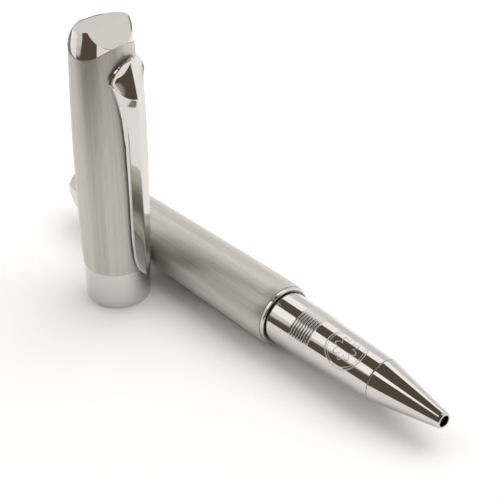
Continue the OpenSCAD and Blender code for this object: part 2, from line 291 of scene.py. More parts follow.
def mix_colour(tree, share, a, b, blend="MIX"):
    made = tree.nodes.new("ShaderNodeMix")
    made.data_type = "RGBA"
    made.blend_type = blend
    feed(tree, share, made.inputs["Factor"])
    for socket, value in ((made.inputs[6], a), (made.inputs[7], b)):
        feed(tree, value if isinstance(value, bpy.types.NodeSocket) else (*value[:3], 1.0), socket)
    return made.outputs[2]


def object_point(tree):
    return tree.nodes.new("ShaderNodeTexCoord").outputs["Object"]


def brushed_group():
    """Long fine scratches along one axis: a grain mask, soft blotches and the bumped normal."""
    tree, given, out = node_tree(
        "brushed_grain",
        [("Stretch", "NodeSocketVector", (1.0, 1.0, 1.0)), ("Strength", "NodeSocketFloat", 0.3)],
        [("Grain", "NodeSocketFloat"), ("Blotch", "NodeSocketFloat"), ("Normal", "NodeSocketVector")],
    )
    point = vector_maths(tree, "MULTIPLY", object_point(tree), given.outputs["Stretch"])
    fine = noise(tree, point, 5200.0, 3.0, 0.6)
    coarse = noise(tree, point, 1100.0, 2.0, 0.5)
    grain = maths(tree, "ADD", maths(tree, "MULTIPLY", fine, 0.6), maths(tree, "MULTIPLY", coarse, 0.4))
    blotch = noise(tree, point, 260.0, 2.0, 0.5)
    link(tree, grain, out.inputs["Grain"])
    link(tree, blotch, out.inputs["Blotch"])
    link(tree, bump(tree, grain, given.outputs["Strength"], 0.00004), out.inputs["Normal"])
    return tree


def turned_group():
    """Fine rings left by a lathe across one direction: a ring mask and the bumped normal."""
    tree, given, out = node_tree(
        "turned_rings",
        [
            ("Along", "NodeSocketVector", (1.0, 0.0, 0.0)),
            ("Strength", "NodeSocketFloat", 0.1),
            ("Pitch", "NodeSocketFloat", 1.0),
        ],
        [("Rings", "NodeSocketFloat"), ("Normal", "NodeSocketVector")],
    )
    point = object_point(tree)
    along = vector_maths(tree, "MULTIPLY", point, given.outputs["Along"])
    wobble = vector_maths(tree, "MULTIPLY", point, (0.01, 0.01, 0.01))
    mixed = vector_maths(tree, "ADD", along, wobble)
    scaled = tree.nodes.new("ShaderNodeVectorMath")
    scaled.operation = "SCALE"
    link(tree, mixed, scaled.inputs[0])
    link(tree, given.outputs["Pitch"], scaled.inputs["Scale"])
    rings = noise(tree, scaled.outputs[0], 2600.0, 2.0, 0.6)
    link(tree, rings, out.inputs["Rings"])
    link(tree, bump(tree, rings, given.outputs["Strength"], 0.00003), out.inputs["Normal"])
    return tree


def handled_group():
    """Faint smears and hairline marks on polished metal: a smear mask and a hairline mask."""
    tree, given, out = node_tree(
        "handling_marks",
        [("Amount", "NodeSocketFloat", 1.0)],
        [("Smear", "NodeSocketFloat"), ("Hairline", "NodeSocketFloat")],
    )
    point = object_point(tree)
    smear = noise(tree, point, 190.0, 4.0, 0.6)
    soft = maths(tree, "MULTIPLY", maths(tree, "SUBTRACT", smear, 0.45, clamp=True), given.outputs["Amount"])
    lines = noise(tree, vector_maths(tree, "MULTIPLY", point, (0.25, 1.0, 1.9)), 3100.0, 2.0, 0.5)
    hair = maths(tree, "MULTIPLY", maths(tree, "GREATER_THAN", lines, 0.72), given.outputs["Amount"])
    link(tree, soft, out.inputs["Smear"])
    link(tree, hair, out.inputs["Hairline"])
    return tree


def rosette_group():
    """A plain engraved rosette of eight petals inside two rings, on the section's side: its line mask."""
    tree, given, out = node_tree(
        "rosette",
        [("Centre", "NodeSocketVector", (0.0, 0.0, 0.0)), ("Size", "NodeSocketFloat", 0.004)],
        [("Lines", "NodeSocketFloat")],
    )
    parts = tree.nodes.new("ShaderNodeSeparateXYZ")
    link(tree, object_point(tree), parts.inputs[0])
    centre = tree.nodes.new("ShaderNodeSeparateXYZ")
    link(tree, given.outputs["Centre"], centre.inputs[0])
    sizes = settings()
    along = maths(tree, "SUBTRACT", parts.outputs[0], centre.outputs[0])
    side = maths(tree, "SUBTRACT", sizes.layout.axis_y, parts.outputs[1])
    up = maths(tree, "SUBTRACT", parts.outputs[2], sizes.layout.barrel_r)
    turn = maths(tree, "SUBTRACT", maths(tree, "ARCTAN2", side, up), centre.outputs[1])
    across = maths(tree, "MULTIPLY", turn, sizes.section.r0 * 0.9)
    squares = maths(tree, "ADD", maths(tree, "POWER", along, 2.0), maths(tree, "POWER", across, 2.0))
    reach = maths(tree, "SQRT", squares)
    bearing = maths(tree, "ARCTAN2", across, along)
    share = maths(tree, "DIVIDE", reach, given.outputs["Size"])
    petal = maths(tree, "ABSOLUTE", maths(tree, "COSINE", maths(tree, "MULTIPLY", bearing, 4.0)))
    outline = maths(tree, "ADD", maths(tree, "MULTIPLY", petal, 0.28), 0.3)
    heart = maths(tree, "LESS_THAN", maths(tree, "ABSOLUTE", maths(tree, "SUBTRACT", share, outline)), 0.035)
    rim = maths(tree, "LESS_THAN", maths(tree, "ABSOLUTE", maths(tree, "SUBTRACT", share, 0.97)), 0.03)
    thin = maths(tree, "LESS_THAN", maths(tree, "ABSOLUTE", maths(tree, "SUBTRACT", share, 0.86)), 0.015)
    line = maths(tree, "MAXIMUM", rim, thin)
    link(tree, maths(tree, "MAXIMUM", line, heart), out.inputs["Lines"])
    return tree


def group_node(tree, name, **values):
    made = tree.nodes.new("ShaderNodeGroup")
    made.node_tree = bpy.data.node_groups.get(name) or GROUP_MAKERS[name]()
    for socket, value in values.items():
        made.inputs[socket].default_value = value
    return made


GROUP_MAKERS = {
    "brushed_grain": brushed_group,
    "turned_rings": turned_group,
    "handling_marks": handled_group,
    "rosette": rosette_group,
}


def blank(name, base, metallic, roughness):
    """A material with its Principled shader set up."""
    made = bpy.data.materials.new(name)
    made.use_nodes = True
    shader = made.node_tree.nodes["Principled BSDF"]
    shader.inputs["Base Color"].default_value = (*base, 1.0)
    shader.inputs["Metallic"].default_value = metallic
    shader.inputs["Roughness"].default_value = roughness
    return made, made.node_tree, shader


def brushed_steel(name, stretch):
    finish = settings().finish
    made, tree, shader = blank(name, finish.steel, 0.75, 0.4)
    grain = group_node(tree, "brushed_grain", Stretch=stretch, Strength=0.35)
    dark = tuple(c * 0.80 for c in finish.steel)
    light = tuple(min(1.0, c * 1.18) for c in finish.steel)
    share = maths(
        tree,
        "ADD",
        maths(tree, "MULTIPLY", maths(tree, "SUBTRACT", grain.outputs["Grain"], 0.5), 2.2),
        maths(tree, "MULTIPLY", grain.outputs["Blotch"], 1.0),
        clamp=True,
    )
    link(tree, mix_colour(tree, share, dark, light), shader.inputs["Base Color"])
    rough = maths(tree, "ADD", maths(tree, "MULTIPLY", grain.outputs["Grain"], 0.16), 0.32)
    link(tree, rough, shader.inputs["Roughness"])
    link(tree, grain.outputs["Normal"], shader.inputs["Normal"])
    return made


def polished(name, rings=(1.0, 0.0, 0.0), strength=0.02, pitch=1.0, marks=1.0, ornament=False):
    finish = settings().finish
    made, tree, shader = blank(name, finish.chrome, 1.0, 0.04)
    lines = group_node(tree, "turned_rings", Along=rings, Strength=strength, Pitch=pitch)
    handled = group_node(tree, "handling_marks", Amount=marks)
    rough = maths(tree, "ADD", maths(tree, "MULTIPLY", handled.outputs["Smear"], 0.16), 0.035)
    rough = maths(tree, "ADD", rough, maths(tree, "MULTIPLY", handled.outputs["Hairline"], 0.10))
    normal = lines.outputs["Normal"]
    if ornament:
        sizes = settings()
        centre = (sizes.layout.mouth_x + 21.5 * MM, math.radians(24.0), 0.0)
        etched = group_node(tree, "rosette", Centre=centre, Size=4.9 * MM)
        rough = maths(tree, "ADD", rough, maths(tree, "MULTIPLY", etched.outputs["Lines"], 0.34))
        normal = bump(tree, maths(tree, "SUBTRACT", 1.0, etched.outputs["Lines"]), 0.4, 0.00004, normal)
    link(tree, rough, shader.inputs["Roughness"])
    link(tree, normal, shader.inputs["Normal"])
    return made


def turned_metal(name, base, roughness, along=(1.0, 0.0, 0.0)):
    made, tree, shader = blank(name, base, 1.0, roughness)
    lines = group_node(tree, "turned_rings", Along=along, Strength=0.15, Pitch=0.8)
    dark = tuple(c * 0.8 for c in base)
    link(tree, mix_colour(tree, lines.outputs["Rings"], dark, base), shader.inputs["Base Color"])
    link(tree, lines.outputs["Normal"], shader.inputs["Normal"])
    return made


def moulded(name, base, roughness, grain=0.3, sheen=0.0):
    made, tree, shader = blank(name, base, 0.0, roughness)
    specks = noise(tree, object_point(tree), 2400.0, 4.0, 0.6)
    lighter = tuple(min(1.0, c * 1.7 + 0.006) for c in base)
    link(tree, mix_colour(tree, specks, base, lighter), shader.inputs["Base Color"])
    link(tree, bump(tree, specks, grain, 0.00002), shader.inputs["Normal"])
    shader.inputs["Sheen Weight"].default_value = sheen
    return made


def material(name):
    """The named material, made the first time it is asked for."""
    found = bpy.data.materials.get(name)
    if found:
        return found
    finish = settings().finish
    makers = {
        "steel_along_pen": lambda: brushed_steel(name, (0.012, 1.0, 1.0)),
        "steel_up_cap": lambda: brushed_steel(name, (1.0, 1.0, 0.012)),
        "chrome_section": lambda: polished(name, strength=0.02, ornament=True),
        "chrome_cone": lambda: polished(name, strength=0.16, pitch=1.3),
        "chrome_ring": lambda: polished(name, strength=0.05),
        "chrome_cap": lambda: polished(name, rings=(0.0, 0.0, 1.0), strength=0.03),
        "chrome_cut": lambda: polished(name, rings=(0.0, 1.0, 0.0), strength=0.01),
        "brass_pen": lambda: turned_metal(name, finish.brass, 0.24),
        "brass_cap": lambda: turned_metal(name, finish.brass, 0.24, (0.0, 0.0, 1.0)),
        "nickel": lambda: turned_metal(name, finish.nickel, 0.3),
        "carbide": lambda: turned_metal(name, finish.carbide, 0.3),
        "wire": lambda: turned_metal(name, finish.wire, 0.28, (1.0, 1.0, 1.0)),
        "refill_shell": lambda: turned_metal(name, finish.shell, 0.34),
        "black_plastic": lambda: moulded(name, finish.black, 0.42),
        "seal_rubber": lambda: moulded(name, finish.rubber, 0.62, 0.5),
        "ink_fibre": lambda: moulded(name, finish.ink, 0.85, 0.9, 0.4),
        "table": lambda: moulded(name, finish.floor, 0.65, 0.06),
    }
    return makers[name]()


# ---- Meshes ----


def rounded(corners, closed, steps=4):
    """A profile of (radius, height, rounding) corners with the corners rounded."""
    points = []
    count = len(corners)
    for i, (r, z, size) in enumerate(corners):
        here = np.array((r, z))
        if size == 0 or (not closed and i in (0, count - 1)):
            points.append(here)
            continue
        before = np.array(corners[i - 1][:2]) - here
        after = np.array(corners[(i + 1) % count][:2]) - here
        cut = min(size, 0.48 * np.linalg.norm(before), 0.48 * np.linalg.norm(after))
        start = here + before / np.linalg.norm(before) * cut
        end = here + after / np.linalg.norm(after) * cut
        for k in range(steps + 1):
            t = k / steps
            points.append((1 - t) ** 2 * start + 2 * t * (1 - t) * here + t * t * end)
    return points


def skin(bm, loops, wrap, closed_columns):
    """Quads between successive loops of vertices; a loop of one vertex is a pole."""
    for low, high in zip(loops, loops[1:] + (loops[:1] if wrap else [])):
        count = max(len(low), len(high))
        for i in range(count if closed_columns else count - 1):
            j = (i + 1) % count
            corners = [low[i % len(low)], low[j % len(low)], high[j % len(high)], high[i % len(high)]]
            unique = list(dict.fromkeys(corners))
            if len(unique) > 2:
                bm.faces.new(unique)


def piece(bm, name, place, look, body, stands_for=(), slot=None, sharp=40.0, weighted=False):
    """Turns a bmesh into a finished piece that rides on its body."""
    bmesh.ops.remove_doubles(bm, verts=bm.verts, dist=1e-8)
    bmesh.ops.recalc_face_normals(bm, faces=bm.faces)
    bm.transform(place)
    if place.determinant() < 0:
        bmesh.ops.reverse_faces(bm, faces=bm.faces)
    mesh = bpy.data.meshes.new(name)
    bm.to_mesh(mesh)
    bm.free()
    if not mesh.polygons:
        raise RuntimeError(f"{name} has no faces")
    mesh.shade_smooth()
    mesh.set_sharp_from_angle(angle=math.radians(sharp))
    made = bpy.data.objects.new(name, mesh)
    bpy.context.scene.collection.objects.link(made)
    made.data.materials.append(material(look))
    if weighted:
        made.modifiers.new("flat_faces", "WEIGHTED_NORMAL").keep_sharp = True
    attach(made, body)
    if stands_for:
        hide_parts(*stands_for)
    return made


def with_supports(points, closed, near=0.15 * MM, step=2.5 * MM):
    """Adds points near the ends of the long straight runs of a profile, and evenly between."""
    result = []
    for i, here in enumerate(points):
        result.append(here)
        if i == len(points) - 1 and not closed:
            break
        run = points[(i + 1) % len(points)] - here
        size = np.linalg.norm(run)
        if size > 4 * near:
            middle = max(1, round((size - 2 * near) / step))
            stops = [near + (size - 2 * near) * k / middle for k in range(middle + 1)]
            result += [here + run * (stop / size) for stop in stops]
    return result


def turned(name, corners, place, look, body, closed=False, segments=224, **options):
    """A piece turned about z from a profile of corners."""
    bm = bmesh.new()
    loops = []
    for r, z in with_supports(rounded(corners, closed), closed):
        if r < 1e-7:
            loops.append([bm.verts.new((0, 0, z))])
        else:
            turns = [2 * math.pi * i / segments for i in range(segments)]
            loops.append([bm.verts.new((r * math.cos(a), r * math.sin(a), z)) for a in turns])
    skin(bm, loops, closed, True)
    return piece(bm, name, place, look, body, weighted=True, **options)


class Cut:
    """A turned shape, which may lean toward +x, cut off by a low and a high surface."""

    def __init__(self, radius, low, high, lean=0.0, base=0.0, span=(0.0, 0.1), most=1.0):
        self.radius, self.low, self.high = radius, low, high
        self.lean, self.base, self.span, self.most = lean, base, span, most

    def point(self, turn, s, inset=0.0):
        r = self.radius(s) - inset
        x = s * math.sin(self.lean) + r * math.cos(turn) * math.cos(self.lean)
        z = self.base + s * math.cos(self.lean) - r * math.cos(turn) * math.sin(self.lean)
        y = r * math.sin(turn)
        held = min(1.0, self.most / max(math.hypot(x, y), 1e-6))
        return Vector((x * held, y * held, z))

    def meet(self, turn, surface, inset=0.0, shift=0.0):
        """Where the line of the side at this turn passes through a surface moved up by shift."""
        low, high = self.span
        for _ in range(36):
            middle = (low + high) / 2
            p = self.point(turn, middle, inset)
            if p.z < surface(p.x, p.y) + shift:
                low = middle
            else:
                high = middle
        return low

    def turn_at(self, x):
        """The turn at which the top edge has this x."""
        low, high = 0.0, math.pi
        for _ in range(36):
            middle = (low + high) / 2
            if self.point(middle, self.meet(middle, self.high)).x > x:
                low = middle
            else:
                high = middle
        return low

    def corner(self, turn, surface, edge, upward):
        """The rounded edge where the side meets a surface, from the side to the surface."""
        sign = -1.0 if upward else 1.0
        start = self.point(turn, self.meet(turn, surface, 0.0, sign * edge))
        middle = self.point(turn, self.meet(turn, surface))
        end = self.point(turn, self.meet(turn, surface, edge))
        steps = 4
        return [
            (1 - k / steps) ** 2 * start + 2 * k / steps * (1 - k / steps) * middle + (k / steps) ** 2 * end
            for k in range(steps + 1)
        ]


def cut_piece(name, cut, place, look, body, edge, bore=None, special=(), rows=16, half=128, **options):
    """The mesh of a Cut: a solid whose end faces are strips across y, or a tube with a bore."""
    turns = [math.pi * i / half for i in range(half + 1)]
    for x in special:
        exact = cut.turn_at(x)
        turns = [t for t in turns if abs(t - exact) > 0.008 or t in (0.0, math.pi)] + [exact]
    turns.sort()
    both = turns + [-t for t in turns[-2:0:-1]]
    bm = bmesh.new()
    columns = []
    for turn in both:
        bottom = cut.corner(turn, cut.low, edge, False)[::-1]
        top = cut.corner(turn, cut.high, edge, True)
        s0 = cut.meet(turn, cut.low, 0.0, edge)
        s1 = cut.meet(turn, cut.high, 0.0, -edge)
        side = [cut.point(turn, s0 + (s1 - s0) * k / rows) for k in range(1, rows)]
        line = bottom + side + top
        if bore:
            ends = [cut.point(turn, 0.0, cut.radius(0.0) - bore) for _ in range(2)]
            for end, surface in zip(ends, (cut.low, cut.high)):
                end.z = surface(end.x, end.y)
            line = [ends[0]] + line + [ends[1]]
        columns.append([bm.verts.new(p) for p in line])
    loops = [list(row) for row in zip(*columns)]
    skin(bm, loops, bool(bore), True)
    if not bore:
        last = len(turns) - 1
        shares = [0.0, 0.02, 0.06, 0.12, 0.2, 0.3, 0.4, 0.5, 0.6, 0.7, 0.8, 0.88, 0.94, 0.98, 1.0]
        for end, surface in ((0, cut.low), (-1, cut.high)):
            strips = []
            for i in range(len(turns)):
                first = columns[i][end]
                if i in (0, last):
                    strips.append([first])
                    continue
                other = columns[len(both) - i][end]
                inner = []
                for t in shares[1:-1]:
                    inner.append(bm.verts.new(first.co.lerp(other.co, t)))
                    inner[-1].co.z = surface(inner[-1].co.x, inner[-1].co.y)
                strips.append([first, *inner, other])
            skin(bm, strips, False, False)
    return piece(bm, name, place, look, body, **options)


def sloped(x0, z0, *slopes, soften=0.0):
    """The lowest of some planes through (x0, z0), with the ridge between them softened."""

    def height(x, y):
        d = x - x0
        if abs(d) < soften:
            left, right = (min(s * e for s in slopes) for e in (-soften, soften))
            t = (d / soften + 1) / 2
            return z0 + (1 - t) ** 2 * left + t * t * right
        return z0 + min(s * d for s in slopes)

    return height


def barrel_radius(d):
    """Radius of the barrel a distance behind its mouth."""
    barrel = settings().barrel
    return settings().layout.barrel_r - barrel.drop * (max(d, 0.0) / (62 * MM)) ** barrel.curve


def cap_radius(h):
    """Radius of the cap at a height."""
    t = h / (61.8 * MM)
    return (7.0 + 2.476 * t - 2.516 * t * t) * MM


def seam_height(u):
    """Height of the cap's seam at a distance u in front of the axis, seen along the finial's ridge."""
    cap = settings().cap
    return cap.seam + cap.seam_r - math.sqrt(max(0.0, cap.seam_r**2 - u * u))


# ---- Operators ----


class BuildOperator(bpy.types.Operator):
    """What the pen's operators share."""

    bl_options = {"REGISTER", "UNDO"}

    def execute(self, context):
        self.build(settings())
        return {"FINISHED"}


class PEN_OT_barrel(BuildOperator):
    """Build the brushed barrel tube and the polished ring in its mouth"""

    bl_idname = "pen.barrel"
    bl_label = "Barrel"

    def build(self, sizes):
        barrel = sizes.barrel
        tilt = math.tan(barrel.seam_tilt)
        mouth = 0.42 * MM

        def radius(d):
            near = max(0.0, mouth - d) / mouth
            return barrel_radius(d) - 0.4 * MM * (1 - math.sqrt(max(0.0, 1 - near * near)))

        tube = Cut(radius, lambda x, y: 0.0, lambda x, y: barrel.seam + tilt * x, span=(-0.0005, 0.07))
        cut_piece(
            "barrel_tube_skin", tube, on_pen_rear(), "steel_along_pen", "barrel", 0.05 * MM,
            bore=barrel.bore, rows=40, stands_for=["barrel_tube"], slot="brushed_steel",
        )  # fmt: skip
        outer = sizes.layout.barrel_r - 0.4 * MM
        inner, front = barrel.ring_bore, barrel.ring_front
        turned(
            "mouth_ring_skin",
            [
                (inner, -6.3 * MM, 0),
                (6.5 * MM, -6.3 * MM, 0),
                (6.5 * MM, 0.02 * MM, 0),
                (outer, 0.02 * MM, 0.05 * MM),
                (outer, front, 0.28 * MM),
                (inner, front, 0.1 * MM),
            ],
            on_pen(), "chrome_ring", "barrel", closed=True, stands_for=["mouth_ring"], slot="polished_chrome",
        )  # fmt: skip


class PEN_OT_rear(BuildOperator):
    """Build the polished wedge at the barrel's rear end"""

    bl_idname = "pen.rear"
    bl_label = "Rear finial"

    def build(self, sizes):
        barrel = sizes.barrel
        tilt = math.tan(barrel.seam_tilt)
        slopes = (-math.tan(barrel.facet), -math.tan(barrel.top))
        end = sloped(-barrel.ridge_up, barrel.ridge, *slopes, soften=0.1 * MM)

        def radius(d):
            past = max(0.0, d - 60 * MM) / MM
            return barrel_radius(d) - (0.02 + 0.012 * past**2) * MM

        wedge = Cut(radius, lambda x, y: barrel.seam + 0.04 * MM + tilt * x, end, span=(0.05, 0.07))
        edges = [-barrel.ridge_up + k * 0.05 * MM for k in range(-2, 3)]
        cut_piece(
            "rear_finial_skin", wedge, on_pen_rear(), "chrome_ring", "barrel", 0.12 * MM, special=edges,
            stands_for=["rear_finial"], slot="polished_chrome", weighted=True,
        )  # fmt: skip


class PEN_OT_section(BuildOperator):
    """Build the polished grip section with its grooves, and the nose cone"""

    bl_idname = "pen.section"
    bl_label = "Grip section"

    def build(self, sizes):
        section = sizes.section
        flange = 6.12 * MM

        def radius(t):
            return section.r0 + (section.r1 - section.r0) * t / section.reach

        line = [(4.5 * MM, -1.6 * MM, 0), (flange, -1.6 * MM, 0.06 * MM), (flange, -0.2 * MM, 0.06 * MM)]
        line += [(section.r0, -0.2 * MM, 0), (section.r0, 0.0, 0)]
        width, depth = 0.2 * MM, 0.15 * MM
        for i in range(section.grooves):
            at = section.groove_start + i * section.groove_pitch
            line += [
                (radius(at), at - width, 0.06 * MM),
                (radius(at) - depth, at - 0.4 * width, 0.06 * MM),
                (radius(at) - depth, at + 0.4 * width, 0.06 * MM),
                (radius(at), at + width, 0.06 * MM),
            ]
        line += [(radius(t * MM), t * MM, 0) for t in (18, 24)]
        line += [(section.r1, section.reach, 0.09 * MM), (3.9 * MM, section.reach, 0)]
        line += [(r * MM, t * MM, 0) for r, t in ((3.9, 24), (3.25, 24), (3.25, 6), (4.5, 6))]
        turned(
            "grip_section_skin", line, on_pen(), "chrome_section", "section", closed=True,
            stands_for=["grip_section"], slot="polished_chrome", sharp=60.0,
        )  # fmt: skip
        rim, hole, nose = section.rim, section.hole, section.nose
        turned(
            "nose_cone_skin",
            [
                (3.25 * MM, 24 * MM, 0),
                (3.9 * MM, 24 * MM, 0),
                (3.9 * MM, section.reach + 0.1 * MM, 0),
                (section.r1 - 0.03 * MM, section.reach + 0.1 * MM, 0.12 * MM),
                (rim + 0.12 * MM, nose - 0.5 * MM, 0),
                (rim, nose - 0.22 * MM, 0.08 * MM),
                (rim - 0.05 * MM, nose, 0.14 * MM),
                (hole, nose, 0.1 * MM),
                (hole, 43.5 * MM, 0),
                (1.65 * MM, 43.5 * MM, 0),
                (1.65 * MM, 39.5 * MM, 0),
                (3.25 * MM, 31 * MM, 0),
            ],
            on_pen(), "chrome_cone", "section", closed=True, stands_for=["nose_cone"], slot="polished_chrome",
        )  # fmt: skip


class PEN_OT_cap(BuildOperator):
    """Build the brushed cap tube and its polished mouth band"""

    bl_idname = "pen.cap"
    bl_label = "Cap tube"

    def build(self, sizes):
        cap = sizes.cap
        across, along = math.cos(cap.turn), math.sin(cap.turn)

        def seam(x, y):
            return seam_height(x * across + y * along)

        tube = Cut(cap_radius, lambda x, y: cap.band, seam, span=(0.0, 0.07))
        made = cut_piece(
            "cap_tube_skin", tube, on_cap(), "steel_up_cap", "cap", 0.06 * MM, bore=cap.bore, rows=40,
            stands_for=["cap_tube"], slot="brushed_steel",
        )  # fmt: skip
        open_window(made, (5.0, 10.0), (-1.65, 1.65), (55.85, 59.15))
        profile = [
            (cap.bore, 0.0, 0.1 * MM),
            (7.08 * MM, 0.0, 0.16 * MM),
            (cap_radius(4 * MM), 4 * MM, 0.4 * MM),
            (cap_radius(cap.band), cap.band, 0.09 * MM),
            (cap.bore, cap.band, 0),
        ]
        turned(
            "cap_mouth_band_skin", profile, on_cap(), "chrome_cap", "cap", closed=True,
            stands_for=["cap_mouth_band"], slot="polished_chrome",
        )  # fmt: skip


def open_window(made, *spans):
    """Cuts a box, in the cap's millimetres, out of a piece."""
    bm = bmesh.new()
    bmesh.ops.create_cube(bm, size=1.0)
    middle = Vector([sum(s) / 2 * MM for s in spans])
    size = [(s[1] - s[0]) * MM for s in spans]
    bm.transform(on_cap() @ Matrix.Translation(middle) @ Matrix.Diagonal((*size, 1)))
    mesh = bpy.data.meshes.new("window")
    bm.to_mesh(mesh)
    bm.free()
    cutter = bpy.data.objects.new("window", mesh)
    bpy.context.scene.collection.objects.link(cutter)
    change = made.modifiers.new("window", "BOOLEAN")
    change.operation = "DIFFERENCE"
    change.object = cutter
    bpy.context.view_layer.update()
    result = bpy.data.meshes.new_from_object(made.evaluated_get(bpy.context.evaluated_depsgraph_get()))
    made.modifiers.clear()
    made.data = result
    bpy.data.objects.remove(cutter)


class PEN_OT_finial(BuildOperator):
    """Build the polished wedge on top of the cap"""

    bl_idname = "pen.finial"
    bl_label = "Cap finial"

    def build(self, sizes):
        cap = sizes.cap
        hollow = 8.0

        def top(x, y):
            d = x - cap.ridge_x
            if d < 0:
                return cap.ridge + math.tan(cap.top) * d
            return cap.ridge - math.tan(cap.facet) * d + hollow * d * d

        heights = [-6.0, 0.0, 2.0, 4.0, 6.0, 8.0, 9.2, 10.2]
        finer = smooth_table(heights, [6.9, 6.8, 6.62, 6.38, 6.12, 5.77, 5.36, 4.95])

        def radius(s):
            return float(np.interp(s / MM, *finer)) * MM

        def foot(x, y):
            return min(seam_height(x) + 0.05 * MM, top(x, y) - 0.35 * MM)

        place = on_cap() @ Matrix.Rotation(cap.turn, 4, "Z")

        wedge = Cut(
            radius, foot, top, lean=cap.lean, base=cap.seam - 1.5 * MM, span=(-0.006, 0.0102), most=6.7 * MM
        )
        edges = [cap.ridge_x + k * 0.07 * MM for k in range(-2, 3)]
        cut_piece(
            "cap_finial_skin", wedge, place, "chrome_cut", "cap", 0.2 * MM, special=edges, rows=20,
            stands_for=["cap_finial"], slot="polished_chrome", weighted=True,
        )  # fmt: skip

        def root_top(x, y):
            return min(seam_height(x) - 0.12 * MM, top(x, y) - 0.05 * MM)

        root = Cut(lambda s: 6.43 * MM, lambda x, y: 60.2 * MM, root_top, span=(0.05, 0.07))
        cut_piece(
            "cap_finial_root", root, place, "chrome_cut", "cap", 0.05 * MM, rows=4, slot="polished_chrome"
        )


def smooth_table(xs, ys, steps=12):
    """A finer table along a smooth curve through the points of a short one."""
    xs, ys = np.array(xs, float), np.array(ys, float)
    slopes = np.gradient(ys, xs)
    fine_x, fine_y = [], []
    for i in range(len(xs) - 1):
        h = xs[i + 1] - xs[i]
        for k in range(steps):
            t = k / steps
            a, b = 2 * t**3 - 3 * t**2 + 1, t**3 - 2 * t**2 + t
            c, d = -2 * t**3 + 3 * t**2, t**3 - t**2
            fine_x.append(xs[i] + t * h)
            fine_y.append(a * ys[i] + b * h * slopes[i] + c * ys[i + 1] + d * h * slopes[i + 1])
    return np.array([*fine_x, xs[-1]]), np.array([*fine_y, ys[-1]])


class ClipShape:
    """The clip's outline and the depth of its front and back, in millimetres."""

    def __init__(self, clip):
        self.tip, self.top, self.crease = clip.tip / MM, clip.top / MM, clip.crease / MM
        self.low, self.high = clip.ridge_low / MM, clip.ridge_high / MM
        self.pivot = clip.pivot / MM
        blade = smooth_table(
            [7.9, 9, 10, 12, 16, 22, 28, 34, 40, 46, 50, 53, 56, 58.9],
            [0, 0.95, 1.6, 2.3, 2.78, 2.95, 3.0, 3.02, 3.05, 3.1, 3.4, 3.8, 4.4, 5.2],
        )
        head = smooth_table([58.9, 60.3, 61.7, 62.8, 63.4], [5.2, 4.5, 3.35, 2.0, 0])
        self.outline = (np.concatenate([blade[0], head[0][1:]]), np.concatenate([blade[1], head[1][1:]]))
        self.fall = ([8, 24, 32, 40, 46, 50, 53, 56, 64], [0.3, 0.3, 0.24, 0.2, 0.22, 0.32, 0.42, 0.48, 0.5])

    def width(self, z):
        return float(np.interp(z, *self.outline))

    def crease_at(self, v):
        """Height of the crease on the line at share v of the half width."""
        z = self.crease
        for _ in range(30):
            z = 0.5 * z + 0.5 * (self.crease + 0.18 * (v * self.width(z)) ** 2)
        return min(z, 58.9)

    def blade_face(self, y, z):
        ridge = self.low + (self.high - self.low) * (z - self.tip) / (58 - self.tip)
        soft = math.sqrt(y * y + 0.012) - 0.11
        return ridge - float(np.interp(z, *self.fall)) * soft

    def clearance(self, y, z):
        """Least distance from the axis at which the head still clears the tube when the clip is open."""
        above = max(0.0, z - self.pivot)
        return math.sqrt(max(0.0, 7.3**2 - y * y)) + 0.07 * above

    def front(self, y, z, crease):
        past = max(0.0, z - crease)
        face = self.blade_face(y, min(z, crease)) - 0.15 * past - (0.003 * past + 0.006 * y * y) * past
        least = self.clearance(y, z) + 0.1
        return 0.5 * (face + least + math.hypot(face - least, 0.4)) if past > 0 else face

    def back(self, y, z, front):
        share = min(max((z - 43) / 9, 0.0), 1.0)
        around = (1 - share) * 7.8 + share * self.clearance(y, z)
        thickness = 1.15 - 0.7 * share * (y / self.width(z)) ** 2
        return min(max(front - thickness, around), front - 0.18)


